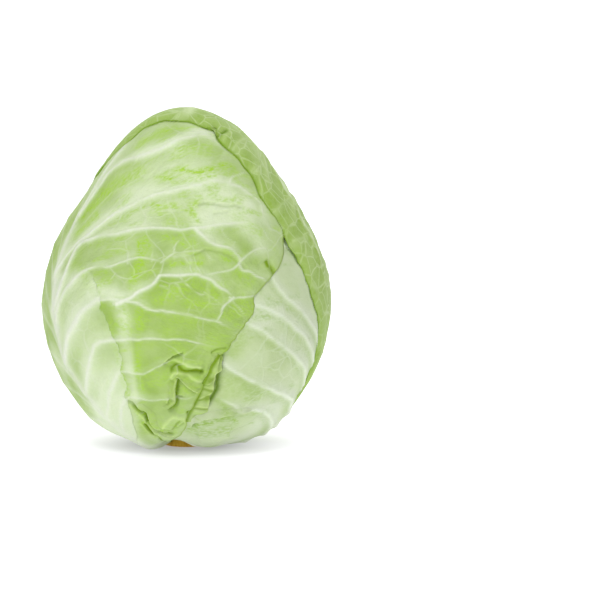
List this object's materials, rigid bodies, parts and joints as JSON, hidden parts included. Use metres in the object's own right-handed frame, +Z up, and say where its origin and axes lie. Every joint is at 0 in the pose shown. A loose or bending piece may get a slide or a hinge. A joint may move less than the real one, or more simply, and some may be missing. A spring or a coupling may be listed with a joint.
{
  "type": "cabbage head",
  "caption": "Whole pointed white cabbage: pale heart and core wrapped in broad ribbed green leaves, standing upright on its cut stem; for kitchen, market and food scenes.",
  "frame": {"origin": "centre of the stem's cut face, on the surface the head stands on", "axes": "+Z up along the head's axis towards its tip; -Y is the front, where the front leaf shows; +X is to the right seen from the front"},
  "size_m": [0.1571, 0.1635, 0.1857],
  "materials": {
    "stem": "rough cut stalk, dry and fibrous",
    "heart": "moist packed leaf, satin",
    "inner_leaf": "waxy satin leaf",
    "right_leaf": "waxy satin leaf, whitish ribs",
    "front_leaf": "waxy satin leaf, whitish ribs",
    "back_leaf": "waxy satin leaf, pale net of veins"
  },
  "bodies": {
    "root": {"stem": "stem", "heart": "heart", "inner_leaf_1": "inner_leaf", "inner_leaf_2": "inner_leaf", "inner_leaf_3": "inner_leaf", "right_leaf": "right_leaf", "front_leaf": "front_leaf", "back_leaf": "back_leaf"}
  },
  "joints": []
}
